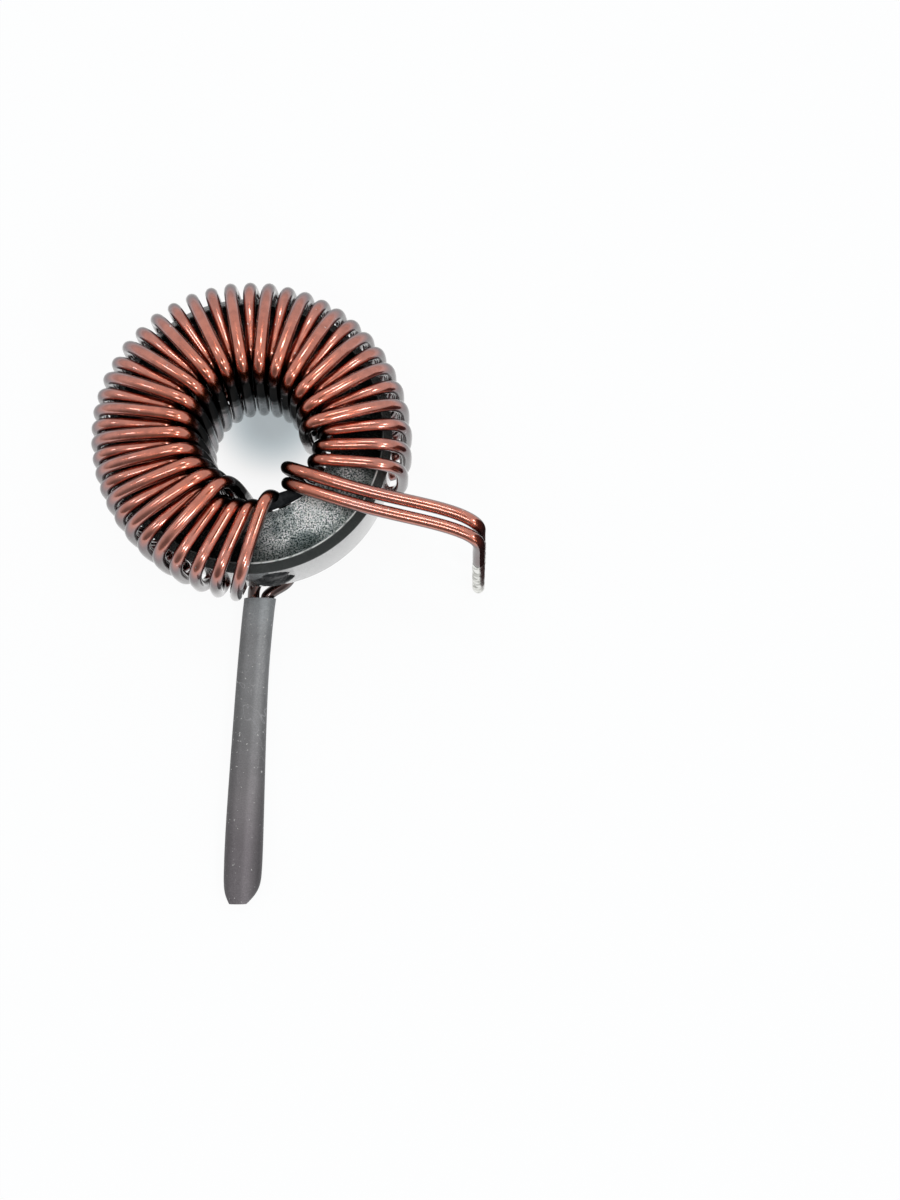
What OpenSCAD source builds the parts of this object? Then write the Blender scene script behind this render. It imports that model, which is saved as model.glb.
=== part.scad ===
// Toroidal choke: a coated ring core wound side by side with two stiff enamelled copper wires.
// Both wires start in a closed oval sleeve and end as two tinned leads bent down beside the ring.
// Frame: Z is the ring's axis, z = 0 is the plane it lies on, X points to the side of the leads.

/* [Core] */
// Outer diameter of the coated ring core
core_outer_d = 40.6; // [40.2:0.1:40.8]
// Inner diameter of the ring core
core_inner_d = 23.4; // [23.2:0.1:23.8]
// Height of the ring core
core_h = 15.6; // [15.2:0.1:15.8]
// Bevel on the four edges of the ring core
core_chamfer = 1.3; // [0.8:0.1:1.6]
// Height of the core's underside above the plane that the winding lies on
core_lift = 4.6; // [4.6:0.1:5]

/* [Wire] */
// Diameter of the enamelled wire
wire_d = 1.9; // [1.7:0.05:1.9]
// Air between a wire and the core face under it
wire_gap = 0.1; // [0.05:0.05:0.2]
// Sides of the wire's section
wire_sides = 8; // [8:2:10]

/* [Winding] */
// Turns of each wire
turns = 20; // [18:1:20]
// Air between the bore wall and a wire that runs along it
bore_gap = 0.5; // [0.5:0.05:0.6]
// How much nearer the axis a wire runs where it rides over its neighbours
ride_step = 2.65; // [2.3:0.05:2.65]
// How much nearer the axis the first and the last two passes run
loose_step = 0.65; // [0.5:0.05:0.8]
// Air between the core's outer side and the wires beside it
side_gap = 1; // [1:0.05:1.3]
// How far each vertical run in the bore turns round the axis between its top and its bottom
bore_lean_deg = 12; // [10:1:13]

/* [Leads] */
// Length of the solder on each lead
solder_len = 12; // [10:0.1:13]
// Diameter of the solder on each lead
solder_d = 2; // [1.96:0.01:2.1]
// Thickness of the solder round the wire and over its end
solder_skin = 0.1; // [0.08:0.01:0.12]

/* [Sleeve] */
// Distance between the core's outer side and the mouth of the sleeve
mouth_gap = 1.35; // [1.3:0.05:1.6]
// Wall of the oval sleeve over the start of the wires
sleeve_wall = 0.35; // [0.3:0.05:0.4]
// Distance between the middles of the two wires in the sleeve
pair_pitch = 2.08; // [2.06:0.01:2.12]
// Length of sleeve that is pressed flat at its closed end
sleeve_flat = 2.4; // [2:0.1:2.8]

/* [Hidden] */

// Air left round the end of a wire in its solder
seam = 0.03;
round_sides = 96;
tip_sides = 32;

core_outer_r = core_outer_d / 2;
core_inner_r = core_inner_d / 2;
core_mid_r = (core_outer_r + core_inner_r) / 2;
core_mid_z = core_lift + core_h / 2;

// Radius of the corners of a many-sided section that holds as much as the round wire
wire_r = wire_d / 2;
section_r = wire_r * sqrt(2 * PI / (wire_sides * sin(360 / wire_sides)));

// Height of a wire's centre line over the core's middle plane, where it lies on a face
face_z = core_h / 2 + wire_r + wire_gap;
top_z = core_mid_z + face_z;
low_z = core_mid_z - face_z;

// Radii of the vertical runs: along the bore wall, riding over the neighbours, loose, and outside
wall_r = core_inner_r - wire_r - bore_gap;
ride_r = wall_r - ride_step;
loose_r = wall_r - loose_step;
outside_r = core_outer_r + wire_r + side_gap;

// Pass k is the k-th vertical run in the bore: wire a has the even passes, wire b the odd ones
passes = 2 * turns;
first_spread = 4;
last_spread = passes - 3;
spread_steps = turns - 4;

// Angles of the passes in the bore, at the top: the first four, the even run, the odd run, the last two
bore_start_deg = [-71.5, -87.5, -98.9, -110.5];
ride_first_deg = -110.4;
ride_last_deg = -359.6;
wall_first_deg = -126;
wall_last_deg = -361.6;
bore_end_deg = [-373.2, -386];

// Angles of the passes outside the core: an even run, and slow waves of one to four half periods
outside_first_deg = -93.2;
outside_last_deg = -373;
waves_deg = [4.9, -1.9, -1.8, -2.5];

// Share of the waves that the riding passes and the wall passes follow in the bore
ride_wave = 0.1;
wall_wave = 0.5;

// The first passes outside lean: their foot is this far ahead of their top, less with each pass
first_lean_deg = 6.5;

// Guide points of a run over a face: their radii, and their heights over a wire that lies on the face
knee_wall_r = core_inner_r + 1.7;
knee_ride_r = core_inner_r + 0.6;
rim_r = core_outer_r - 2.7;
wall_heights = [0.75, 0.35, 0.7];
ride_heights = [2.8, 2.6, 1.85];

// Share of the riders' height that the first pass keeps
first_ride = 0.6;

// Guide points of the run outside the core
belly_out = 0.15;
shoulder_in = 0.05;
shoulder_drop = 0.45;

// Middle of the sleeve along the wires, from its mouth: x, distance from the mouth, and the room
// that it leaves beside the two wires and over them
sleeve_route = [
    [-0.25, 0, 0.17, 0.7],
    [-0.36, 1.15, 0.12, 0.7],
    [-0.5, 2.35, 0.12, 0.7],
    [-1.05, 9.55, 0.07, 0.7],
    [-1.35, 16.35, 0.22, 0.75],
    [-1.65, 26.35, 0.62, 0.8],
    [-1.9, 35.35, 1.02, 0.8],
    [-2, 41.85, 1.02, 0.8]
];

// Its end beyond the wires: x, distance from the mouth, width and height
sleeve_end = [[-2.1, 43.75, 5.5, 3.2], [-2.35, 45.15, 4.5, 2.4], [-2.65, 46.35, 2.7, 1.6]];
sleeve_sides = 20;
sleeve_rings = 14;
sleeve_square = 0.8;

// The hollow is cut this far past the mouth
mouth_cut = 1;

// The sleeve lies on the plane at its tallest part, and the wires lie along its middle
pair_w = pair_pitch + 2 * section_r + 2 * sleeve_wall;
pair_h = 2 * section_r + 2 * sleeve_wall;
pair_z = (pair_h + max([for (p = sleeve_route) p[3]])) / 2;
mouth_y = -core_outer_r - mouth_gap;

// Guide points of the two starts, from the mouth of the sleeve to under the bore: x, distance from
// the core's outer side, which is negative under the core, and drop below a wire that lies under it
start_a = [[0.77, 0.85, 1.8], [2.1, -0.1, 1.5], [4.4, -1.1, 0.55], [4.9, -3.3, 0.15], [5.2, -7.7, 0.35]];
start_b = [[-1.25, 0.8, 1.75], [-1.2, 0, 1.35], [-0.6, -1.4, 0.55], [0.6, -3.3, 0.15], [2.1, -7.1, 0.3]];

// The last pass of each wire in the bore: step from the wall runs, angle at the top, and its turn
finish_a_step = 2.75;
finish_a_deg = -41;
finish_b_step = 0.9;
finish_b_deg = -51;
finish_lean_deg = 14;
finish_a_r = wall_r - finish_a_step;
finish_b_r = wall_r - finish_b_step;

// Guide points of the two finishes under the bottom face: their radii, and their drops below the face level
finish_rim_r = core_outer_r - 1.9;
finish_knee_r = core_inner_r + 0.9;
finish_a_drops = [1.7, 2.55, 2.8];
finish_b_drops = [0.5, 0.35, 0.45];

// Guide points of the two finishes over the top face: x, y and height over the face level
finish_a = [
    [3.9, -4.9, 0.8],
    [12.5, -7.75, 0.9],
    [19, -9.4, 0.5],
    [26, -10.8, 0.4],
    [30.4, -12.1, 0.4],
    [32.7, -13.5, 0.15]
];
finish_b = [
    [3.8, -7.1, 0.35],
    [12.5, -10, 0.35],
    [19, -11.7, 0.3],
    [26, -13.15, 0.25],
    [30.4, -14.45, 0.25],
    [32.65, -15.75, 0.1]
];

// Each lead comes down straight along its own direction and ends at its tip: the two spread a little
fall_a = [0.07, -0.1, -1];
fall_b = [0.06, -0.2, -1];
tip_a = [34.15, -15.45, 0.25];
tip_b = [33.9, -19.6, 0.25];

// Guide points of the straight run above the tip, as shares of the solder's length
fall_shares = [1.46, 1.125, 0.75, 0.375, 0];

// Points on a smooth curve per guide point
wire_fine = 1.5;

function unit(v) = v / norm(v);
function blend(a, b, t) = a + (b - a) * t;
function polar(r, a, z) = [r * cos(a), r * sin(a), z];
function spread(a, b, i) = blend(a, b, i / spread_steps);
function last(list) = list[len(list) - 1];
function reverse(list) = [for (i = [len(list) - 1:-1:0]) list[i]];

// Smooth curve drawn by a row of guide points: it starts at the first and ends at the last
function padded(c) = concat([2 * c[0] - c[1]], c, [2 * last(c) - c[len(c) - 2]]);
function curve_point(c, i, t) = (pow(1 - t, 3) * c[i]
    + (3 * pow(t, 3) - 6 * pow(t, 2) + 4) * c[i + 1]
    + (-3 * pow(t, 3) + 3 * pow(t, 2) + 3 * t + 1) * c[i + 2]
    + pow(t, 3) * c[i + 3]) / 6;
function curve(guides, count) =
    let (c = padded(guides), spans = len(guides) - 1)
    [for (j = [0:count]) let (s = spans * j / count, i = min(floor(s), spans - 1)) curve_point(c, i, s - i)];

// Where pass k stands in the bore and outside the core
function wave(k) = waves_deg * [for (n = [1:len(waves_deg)]) sin(180 * n * k / (passes - 1))];
function is_spread(k) = k >= first_spread && k <= last_spread;
function rides(k) = is_spread(k) && k % 2 == 0;
function is_loose(k) = k == 0 || k > last_spread;
function bore_r(k) = rides(k) ? ride_r : is_loose(k) ? loose_r : wall_r;
function ride_share(k) = rides(k) ? 1 : k == 0 ? first_ride : 0;
function bore_deg(k) = k < first_spread ? bore_start_deg[k]
    : k > last_spread ? bore_end_deg[k - last_spread - 1]
    : rides(k) ? spread(ride_first_deg, ride_last_deg, (k - first_spread) / 2) + ride_wave * wave(k)
    : spread(wall_first_deg, wall_last_deg, (k - first_spread - 1) / 2) + wall_wave * wave(k);
function outside_top_deg(k) = blend(outside_first_deg, outside_last_deg, k / (passes - 1)) + wave(k);
function outside_low_deg(k) = outside_top_deg(k) - first_lean_deg * max(0, 1 - k / first_spread);

// Three guide points over a face, from the bore outward: side is 1 over the top and -1 under the bottom
function face_run(k, in_deg, out_deg, side) =
    let (
        inner = polar(bore_r(k), in_deg, 0),
        outer = polar(outside_r, out_deg, 0),
        share = ride_share(k),
        heights = blend(wall_heights, ride_heights, share),
        radii = [bore_r(k), blend(knee_wall_r, knee_ride_r, share), rim_r]
    )
    [for (i = [0:2])
        blend(inner, outer, (radii[i] - bore_r(k)) / (outside_r - bore_r(k)))
            + [0, 0, core_mid_z + side * (face_z + heights[i])]];

// Guide points of one turn, from the middle of pass k in the bore to the foot of pass k + 2
function turn(k) = concat(
    [polar(bore_r(k), bore_deg(k) + bore_lean_deg / 2, core_mid_z)],
    face_run(k, bore_deg(k), outside_top_deg(k), 1),
    [
        polar(outside_r - shoulder_in, outside_top_deg(k), top_z - shoulder_drop),
        polar(outside_r + belly_out, (outside_top_deg(k) + outside_low_deg(k)) / 2, core_mid_z),
        polar(outside_r - shoulder_in, outside_low_deg(k), low_z + shoulder_drop)
    ],
    k + 2 < passes ? reverse(face_run(k + 2, bore_deg(k + 2) + bore_lean_deg, outside_low_deg(k), -1)) : []
);

// Start of a wire: through the sleeve, under the core and to the foot of its first pass
function start(k, side, under) = concat(
    [for (p = reverse(sleeve_route)) [p[0] + side * pair_pitch / 2, mouth_y - p[1], pair_z]],
    [for (p = under) [p[0], -core_outer_r - p[1], low_z - p[2]]],
    [polar(bore_r(k), bore_deg(k) + bore_lean_deg, low_z - wall_heights[0])]
);

// Finish of a wire: under the core, up the bore, over the top face and down to its tip
function finish(k, r, deg, drops, over, tip, fall) =
    let (
        foot = polar(r, deg + finish_lean_deg, 0),
        outer = polar(outside_r, outside_low_deg(k), 0),
        radii = [finish_rim_r, finish_knee_r, r]
    )
    concat(
        [for (i = [0:2]) blend(foot, outer, (radii[i] - r) / (outside_r - r)) + [0, 0, low_z - drops[i]]],
        [polar(r, deg + finish_lean_deg / 2, core_mid_z)],
        [for (p = over) p + [0, 0, top_z]],
        [for (s = fall_shares) tip - (s * solder_len + solder_skin + seam) * unit(fall)]
    );

route_a = concat(
    start(0, 1, start_a),
    [for (t = [0:turns - 1]) each turn(2 * t)],
    finish(passes - 2, finish_a_r, finish_a_deg, finish_a_drops, finish_a, tip_a, fall_a)
);
route_b = concat(
    start(1, -1, start_b),
    [for (t = [0:turns - 1]) each turn(2 * t + 1)],
    finish(passes - 1, finish_b_r, finish_b_deg, finish_b_drops, finish_b, tip_b, fall_b)
);

// Section of a wire at one point: its first corner points away from the middle of the core's section
function away(p) = p - polar(core_mid_r, atan2(p[1], p[0]), core_mid_z);
function section(p, along, r) =
    let (out = away(p), n = unit(out - (out * along) * along), b = cross(along, n))
    [for (j = [0:wire_sides - 1]) p + r * (cos(360 * j / wire_sides) * n + sin(360 * j / wire_sides) * b)];
function along(pts, i) = unit(pts[min(i + 1, len(pts) - 1)] - pts[max(i - 1, 0)]);

// Marks of the lead's end above its tip, and the wire there: it is bare and thinner in the solder
bare_r = solder_d / 2 - solder_skin - seam;
end_marks = [solder_len + section_r, solder_len, solder_skin + seam];
end_radii = [section_r, bare_r, bare_r];

// Closed skin over rings of equal count, with flat ends
module skin(rings) {
    n = len(rings[0]);
    m = len(rings);
    polyhedron(
        points = [for (ring = rings) each ring],
        faces = concat(
            [[for (j = [0:n - 1]) j]],
            [for (i = [0:m - 2], j = [0:n - 1]) [i * n + j, (i + 1) * n + j, i * n + (j + 1) % n]],
            [for (i = [0:m - 2], j = [0:n - 1])
                [i * n + (j + 1) % n, (i + 1) * n + j, (i + 1) * n + (j + 1) % n]],
            [[for (j = [n - 1:-1:0]) (m - 1) * n + j]]
        )
    );
}

module wire(route, tip, fall) {
    whole = curve(route, round(wire_fine * (len(route) - 1)));
    covered = [for (p = whole) if (norm(p - tip) > end_marks[0] + wire_d) p];
    pts = concat(covered, [for (m = end_marks) tip - m * unit(fall)]);
    radii = concat([for (p = covered) section_r], end_radii);
    skin([for (i = [0:len(pts) - 1]) section(pts[i], along(pts, i), radii[i])]);
}

// Points on an oval: its square share flattens the sides
function bulge(v) = sign(v) * pow(abs(v), sleeve_square);
function oval(c, inset) =
    [for (j = [0:sleeve_sides - 1])
        let (a = 360 * j / sleeve_sides, half_w = c[2] / 2 - inset, half_h = c[3] / 2 - inset)
        [c[0] + half_w * bulge(cos(a)), c[1], pair_z + half_h * bulge(sin(a))]];

// Solder on a lead: a cup over the end of the wire
module solder(tip, fall) {
    dir = unit(fall);
    color("gainsboro")
        translate(tip)
            rotate([0, 180 - acos(dir[2]), atan2(dir[1], dir[0]) + 180])
                difference() {
                    cylinder(h = solder_len, d = solder_d, $fn = tip_sides);
                    translate([0, 0, solder_skin])
                        cylinder(h = solder_len, d = solder_d - 2 * solder_skin, $fn = tip_sides);
                }
}

module core() {
    color("darkslategray")
        translate([0, 0, core_lift])
            rotate_extrude($fn = round_sides)
                polygon([
                    [core_inner_r, core_chamfer],
                    [core_inner_r + core_chamfer, 0],
                    [core_outer_r - core_chamfer, 0],
                    [core_outer_r, core_chamfer],
                    [core_outer_r, core_h - core_chamfer],
                    [core_outer_r - core_chamfer, core_h],
                    [core_inner_r + core_chamfer, core_h],
                    [core_inner_r, core_h - core_chamfer]
                ]);
}

module strand_a() {
    color("peru") wire(route_a, tip_a, fall_a);
}

module strand_b() {
    color("peru") wire(route_b, tip_b, fall_b);
}

module lead_sleeve() {
    middle = concat(
        [for (p = sleeve_route) [p[0], mouth_y - p[1], pair_w + p[2], pair_h + p[3]]],
        [for (p = sleeve_end) [p[0], mouth_y - p[1], p[2], p[3]]]
    );
    outer = curve(middle, sleeve_rings);
    hollow = [for (p = outer) if (p[1] > last(middle)[1] + sleeve_flat) p];
    color("dimgray")
        difference() {
            skin([for (p = outer) oval(p, 0)]);
            skin([for (p = concat([hollow[0] + [0, mouth_cut, 0, 0]], hollow)) oval(p, sleeve_wall)]);
        }
}

module solder_tip_a() {
    solder(tip_a, fall_a);
}

module solder_tip_b() {
    solder(tip_b, fall_b);
}

core();
strand_a();
strand_b();
lead_sleeve();
solder_tip_a();
solder_tip_b();
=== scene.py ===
"""Looks of the toroidal choke: wires, ring core, sleeve and solder, with the studio and the camera.

The frame is the CAD model's own: metres in Blender, Z up, origin on the ring's axis at z = 0.
Sizes below are in millimetres, as the CAD source has them, and mm() turns them into metres.
"""

import math

import bpy
import numpy as np
from mathutils import Matrix, Vector


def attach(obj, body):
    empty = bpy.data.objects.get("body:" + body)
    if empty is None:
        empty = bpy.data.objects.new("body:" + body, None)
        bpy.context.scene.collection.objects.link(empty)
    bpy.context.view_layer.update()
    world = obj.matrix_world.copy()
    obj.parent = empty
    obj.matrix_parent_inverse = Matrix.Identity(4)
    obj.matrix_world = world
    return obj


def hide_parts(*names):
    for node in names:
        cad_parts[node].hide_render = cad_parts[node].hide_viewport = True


# ---------------------------------------------------------------- sizes of the part, in millimetres

CORE_OUTER_D = 40.6
CORE_INNER_D = 23.4
CORE_H = 15.6
CORE_CHAMFER = 1.3
CORE_LIFT = 4.6
WIRE_D = 1.9
WIRE_GAP = 0.1
TURNS = 20
BORE_GAP = 0.5
RIDE_STEP = 2.65
LOOSE_STEP = 0.65
SIDE_GAP = 1
BORE_LEAN_DEG = 12
SOLDER_LEN = 12
SOLDER_D = 2
SOLDER_SKIN = 0.1
MOUTH_GAP = 1.35
SLEEVE_WALL = 0.35
PAIR_PITCH = 2.08
SLEEVE_FLAT = 2.4

CORE_OUTER_R = CORE_OUTER_D / 2
CORE_INNER_R = CORE_INNER_D / 2
CORE_MID_R = (CORE_OUTER_R + CORE_INNER_R) / 2
CORE_MID_Z = CORE_LIFT + CORE_H / 2
WIRE_R = WIRE_D / 2
# Corner radius of the solid wire's section, which has eight sides and the round wire's area
SECTION_SIDES = 8
SECTION_R = WIRE_R * math.sqrt(
    2 * math.pi / (SECTION_SIDES * math.sin(2 * math.pi / SECTION_SIDES))
)
FACE_Z = CORE_H / 2 + WIRE_R + WIRE_GAP
TOP_Z = CORE_MID_Z + FACE_Z
LOW_Z = CORE_MID_Z - FACE_Z
WALL_R = CORE_INNER_R - WIRE_R - BORE_GAP
RIDE_R = WALL_R - RIDE_STEP
LOOSE_R = WALL_R - LOOSE_STEP
OUTSIDE_R = CORE_OUTER_R + WIRE_R + SIDE_GAP

# The passes: their angles in the bore and outside the core, and their radii and heights over a face
PASSES = 2 * TURNS
FIRST_SPREAD = 4
LAST_SPREAD = PASSES - 3
BORE_START_DEG = (-71.5, -87.5, -98.9, -110.5)
RIDE_DEG = (-110.4, -359.6)
WALL_DEG = (-126, -361.6)
BORE_END_DEG = (-373.2, -386)
OUTSIDE_DEG = (-93.2, -373)
WAVES_DEG = (4.9, -1.9, -1.8, -2.5)
RIDE_WAVE = 0.1
WALL_WAVE = 0.5
FIRST_LEAN_DEG = 6.5
KNEE_WALL_R = CORE_INNER_R + 1.7
KNEE_RIDE_R = CORE_INNER_R + 0.6
RIM_R = CORE_OUTER_R - 2.7
WALL_HEIGHTS = np.array((0.75, 0.35, 0.7))
RIDE_HEIGHTS = np.array((2.8, 2.6, 1.85))
FIRST_RIDE = 0.6
BELLY_OUT = 0.15
SHOULDER_IN = 0.05
SHOULDER_DROP = 0.45

# The sleeve's middle line: x, distance from the mouth, and its width and height over the pair's
SLEEVE_ROUTE = (
    (-0.25, 0, 0.17, 0.7),
    (-0.36, 1.15, 0.12, 0.7),
    (-0.5, 2.35, 0.12, 0.7),
    (-1.05, 9.55, 0.07, 0.7),
    (-1.35, 16.35, 0.22, 0.75),
    (-1.65, 26.35, 0.62, 0.8),
    (-1.9, 35.35, 1.02, 0.8),
    (-2, 41.85, 1.02, 0.8),
)
# Its pressed end: x, distance from the mouth, width and height
SLEEVE_END = ((-2.1, 43.75, 5.5, 3.2), (-2.35, 45.15, 4.5, 2.4), (-2.65, 46.35, 2.7, 1.6))
# The power of the sine and cosine round the sleeve: under 1, it flattens the sides
SLEEVE_SQUARE = 0.8
PAIR_W = PAIR_PITCH + 2 * SECTION_R + 2 * SLEEVE_WALL
PAIR_H = 2 * SECTION_R + 2 * SLEEVE_WALL
PAIR_Z = (PAIR_H + max(p[3] for p in SLEEVE_ROUTE)) / 2
MOUTH_Y = -CORE_OUTER_R - MOUTH_GAP

# The starts under the core: x, distance out from the core's outer wall, and depth below LOW_Z
START_A = (
    (0.77, 0.85, 1.8),
    (2.1, -0.1, 1.5),
    (4.4, -1.1, 0.55),
    (4.9, -3.3, 0.15),
    (5.2, -7.7, 0.35),
)
START_B = (
    (-1.25, 0.8, 1.75),
    (-1.2, 0, 1.35),
    (-0.6, -1.4, 0.55),
    (0.6, -3.3, 0.15),
    (2.1, -7.1, 0.3),
)

# The finishes: radius and angle in the bore, depths below LOW_Z under the core, then x, y and
# height over TOP_Z on the top face, the direction in which the lead falls, and its tip
FINISH_A_R = WALL_R - 2.75
FINISH_A_DEG = -41
FINISH_B_R = WALL_R - 0.9
FINISH_B_DEG = -51
FINISH_LEAN_DEG = 14
FINISH_RIM_R = CORE_OUTER_R - 1.9
FINISH_KNEE_R = CORE_INNER_R + 0.9
FINISH_A_DROPS = (1.7, 2.55, 2.8)
FINISH_B_DROPS = (0.5, 0.35, 0.45)
FINISH_A = (
    (3.9, -4.9, 0.8),
    (12.5, -7.75, 0.9),
    (19, -9.4, 0.5),
    (26, -10.8, 0.4),
    (30.4, -12.1, 0.4),
    (32.7, -13.5, 0.15),
)
FINISH_B = (
    (3.8, -7.1, 0.35),
    (12.5, -10, 0.35),
    (19, -11.7, 0.3),
    (26, -13.15, 0.25),
    (30.4, -14.45, 0.25),
    (32.65, -15.75, 0.1),
)
FALL_A = np.array((0.07, -0.1, -1))
FALL_B = np.array((0.06, -0.2, -1))
TIP_A = np.array((34.15, -15.45, 0.25))
TIP_B = np.array((33.9, -19.6, 0.25))
# Guide points of the straight run above the tip, as shares of the solder's length
FALL_SHARES = (1.46, 1.125, 0.75, 0.375, 0)
# Air left round the end of a wire in its solder
SEAM = 0.03

# ---------------------------------------------------------------- the drawn pieces, in millimetres

# The wire is drawn a little inside the solid's corners, and its ends stay inside the solder
WIRE_DRAWN_R = 0.93
WIRE_BARE_R = 0.86
ENAMEL_BACK = 0.2
WIRE_SIDES = 24
WIRE_FINE = 9

CORE_SIDES = 240
CORE_ROUND_R = 0.45
CORE_ROUND_STEPS = 5

SLEEVE_SIDES = 64
SLEEVE_FINE = 10
SLEEVE_INSET = 0.02

# The skin of solder: its round end, its rows of points and its collar's slope. Its ripples each
# have a share of the radius, waves round the lead and radians for each millimetre along it
SOLDER_SIDES = 28
SOLDER_ROUND = 0.5
SOLDER_MARKS = np.concatenate(
    (
        np.linspace(0.0, SOLDER_ROUND, 6),
        np.linspace(0.8, SOLDER_LEN - 0.6, 22),
        (SOLDER_LEN - 0.3, SOLDER_LEN - 0.05),
    )
)
SOLDER_END = 0.3
SOLDER_SWELL = 0.68
COLLAR_END = 0.9
COLLAR_SLOPE = 0.2
RIPPLES = ((0.012, 2, 1.9), (0.01, 3, 5))

# The nearly black bead: radius, angle and height along it, and the share of its radius at its ends
BEAD_ROUTE = (
    (11.2, -88, 18.9),
    (10.7, -77, 18.7),
    (10.4, -66, 18.6),
    (10.7, -56, 18.7),
    (11.3, -46, 18.9),
)
BEAD_R = 1.0
BEAD_THIN = 0.3

# A dark patch on the outer wall, a piece that stands in for shade there: angle and height along
# it, its ragged width, and how flat it is pressed
SHADE_PATCH_R = 19.95
SHADE_PATCH_ROUTE = ((-79, 17.6), (-80, 15), (-82.5, 12), (-81, 9), (-83, 6.2))
SHADE_PATCH_W = 2.7
SHADE_PATCH_WAVES = 14
SHADE_PATCH_WAVE_W = 0.25
SHADE_PATCH_END = 0.01
SHADE_PATCH_FLAT = 0.35


def mm(value):
    """Millimetres to metres."""
    return value * 0.001


# ---------------------------------------------------------------- curves


def polar(r, deg, z=0.0):
    return np.array((r * math.cos(math.radians(deg)), r * math.sin(math.radians(deg)), z))


def blend(a, b, t):
    return a + (b - a) * t


def unit(v):
    return v / np.linalg.norm(v)


def curve(guides, per_guide):
    """Smooth curve drawn by a row of guide points: it starts at the first and ends at the last."""
    g = np.array(guides, float)
    c = np.vstack((2 * g[0] - g[1], g, 2 * g[-1] - g[-2]))
    spans = len(g) - 1
    s = np.linspace(0, spans, spans * per_guide + 1)
    i = np.minimum(s.astype(int), spans - 1)
    t = (s - i)[:, None]
    return (
        (1 - t) ** 3 * c[i]
        + (3 * t**3 - 6 * t**2 + 4) * c[i + 1]
        + (-3 * t**3 + 3 * t**2 + 3 * t + 1) * c[i + 2]
        + t**3 * c[i + 3]
    ) / 6


# ---------------------------------------------------------------- the winding's two routes


def rides(k):
    """Whether a pass rides over its neighbours in the bore."""
    return FIRST_SPREAD <= k <= LAST_SPREAD and k % 2 == 0


def bore_r(k):
    if rides(k):
        return RIDE_R
    return LOOSE_R if k == 0 or k > LAST_SPREAD else WALL_R


def ride_share(k):
    """How far a pass is lifted from the heights on the wall to those of a riding pass."""
    if rides(k):
        return 1.0
    return FIRST_RIDE if k == 0 else 0.0


def spread(ends, i):
    return blend(ends[0], ends[1], i / (TURNS - 4))


def wave(k):
    """Slow waves that the passes follow over the winding, in degrees."""
    return sum(
        w * math.sin(math.pi * (n + 1) * k / (PASSES - 1)) for n, w in enumerate(WAVES_DEG)
    )


def bore_deg(k):
    if k < FIRST_SPREAD:
        return BORE_START_DEG[k]
    if k > LAST_SPREAD:
        return BORE_END_DEG[k - LAST_SPREAD - 1]
    if rides(k):
        return spread(RIDE_DEG, (k - FIRST_SPREAD) / 2) + RIDE_WAVE * wave(k)
    return spread(WALL_DEG, (k - FIRST_SPREAD - 1) / 2) + WALL_WAVE * wave(k)


def outside_deg(k, end):
    """Angle of a pass outside the core: end 0 is its top and end 1 its foot."""
    lean = FIRST_LEAN_DEG * max(0, 1 - k / FIRST_SPREAD)
    return blend(*OUTSIDE_DEG, k / (PASSES - 1)) + wave(k) - end * lean


def face_run(k, in_deg, out_deg, side):
    """Three guide points over a face, from the bore outward: side is 1 on the top, -1 under it."""
    inner, outer, share = polar(bore_r(k), in_deg), polar(OUTSIDE_R, out_deg), ride_share(k)
    heights = blend(WALL_HEIGHTS, RIDE_HEIGHTS, share)
    radii = (bore_r(k), blend(KNEE_WALL_R, KNEE_RIDE_R, share), RIM_R)
    points = [blend(inner, outer, (r - bore_r(k)) / (OUTSIDE_R - bore_r(k))) for r in radii]
    return [p + (0, 0, CORE_MID_Z + side * (FACE_Z + h)) for p, h in zip(points, heights)]


def turn(k):
    """Guide points of one turn, from the middle of pass k in the bore to the foot of pass k + 2."""
    top, foot = outside_deg(k, 0), outside_deg(k, 1)
    points = [polar(bore_r(k), bore_deg(k) + BORE_LEAN_DEG / 2, CORE_MID_Z)]
    points += face_run(k, bore_deg(k), top, 1)
    points += [
        polar(OUTSIDE_R - SHOULDER_IN, top, TOP_Z - SHOULDER_DROP),
        polar(OUTSIDE_R + BELLY_OUT, (top + foot) / 2, CORE_MID_Z),
        polar(OUTSIDE_R - SHOULDER_IN, foot, LOW_Z + SHOULDER_DROP),
    ]
    if k + 2 < PASSES:
        points += face_run(k + 2, bore_deg(k + 2) + BORE_LEAN_DEG, foot, -1)[::-1]
    return points


def start(k, side, under):
    """Start of a wire: through the sleeve, under the core and to the foot of its first pass."""
    pair = [
        np.array((x + side * PAIR_PITCH / 2, MOUTH_Y - at, PAIR_Z))
        for x, at, _, _ in SLEEVE_ROUTE[::-1]
    ]
    bend = [np.array((x, -CORE_OUTER_R - out, LOW_Z - drop)) for x, out, drop in under]
    foot = polar(bore_r(k), bore_deg(k) + BORE_LEAN_DEG, LOW_Z - WALL_HEIGHTS[0])
    return pair + bend + [foot]


def finish(k, r, deg, drops, over, tip, fall):
    """Finish of a wire: under the core, up the bore, over the top face and down to its tip."""
    foot, outer = polar(r, deg + FINISH_LEAN_DEG), polar(OUTSIDE_R, outside_deg(k, 1))
    radii = (FINISH_RIM_R, FINISH_KNEE_R, r)
    points = [
        blend(foot, outer, (radius - r) / (OUTSIDE_R - r)) + (0, 0, LOW_Z - drop)
        for radius, drop in zip(radii, drops)
    ]
    points += [polar(r, deg + FINISH_LEAN_DEG / 2, CORE_MID_Z)]
    points += [np.array((x, y, TOP_Z + z)) for x, y, z in over]
    lengths = [s * SOLDER_LEN + SOLDER_SKIN + SEAM for s in FALL_SHARES]
    return points + [tip - length * unit(fall) for length in lengths]


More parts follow.
